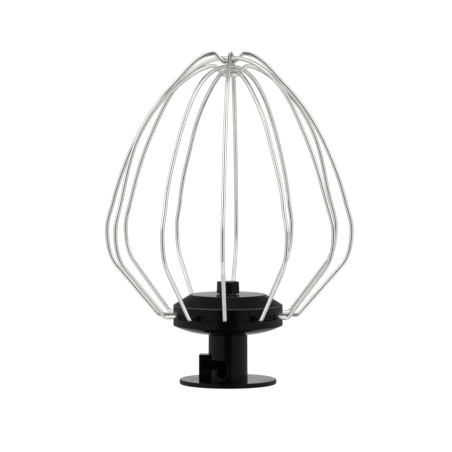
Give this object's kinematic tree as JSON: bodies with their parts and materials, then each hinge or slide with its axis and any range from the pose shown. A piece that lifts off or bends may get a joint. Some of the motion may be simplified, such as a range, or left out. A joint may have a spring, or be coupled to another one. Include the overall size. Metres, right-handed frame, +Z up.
{
  "type": "mixer whisk",
  "caption": "Balloon whisk attachment for a stand mixer: polished wire loops in a black moulded hub with a bayonet drive socket, standing on its drip disc",
  "frame": {"origin": "centre of the drip disc's underside, on the shaft axis; the part stands on this face", "axes": "+Z up along the shaft axis from the socket's mouth to the whisk's tip; -X towards the pin channel; two strands lie in the XZ plane"},
  "size_m": [0.1153, 0.1148, 0.1539],
  "materials": {
    "socket_plastic": "satin black moulding with a light gloss",
    "hub_plastic": "satin black moulding with a light gloss",
    "nut_plastic": "satin black moulding",
    "polished_wire": "drawn stainless wire, polished",
    "plated_steel": "zinc plate"
  },
  "bodies": {
    "root": {"drive_socket": "socket_plastic", "hub_base": "hub_plastic", "hub_cap": "hub_plastic", "cap_nut": "nut_plastic", "wire_clamp_plate": "plated_steel", "clamp_bolt": "plated_steel", "lock_washer": "plated_steel", "wire_loop_1": "polished_wire", "wire_loop_2": "polished_wire", "wire_loop_3": "polished_wire", "wire_loop_4": "polished_wire", "wire_loop_5": "polished_wire", "wire_loop_6": "polished_wire"}
  },
  "joints": []
}
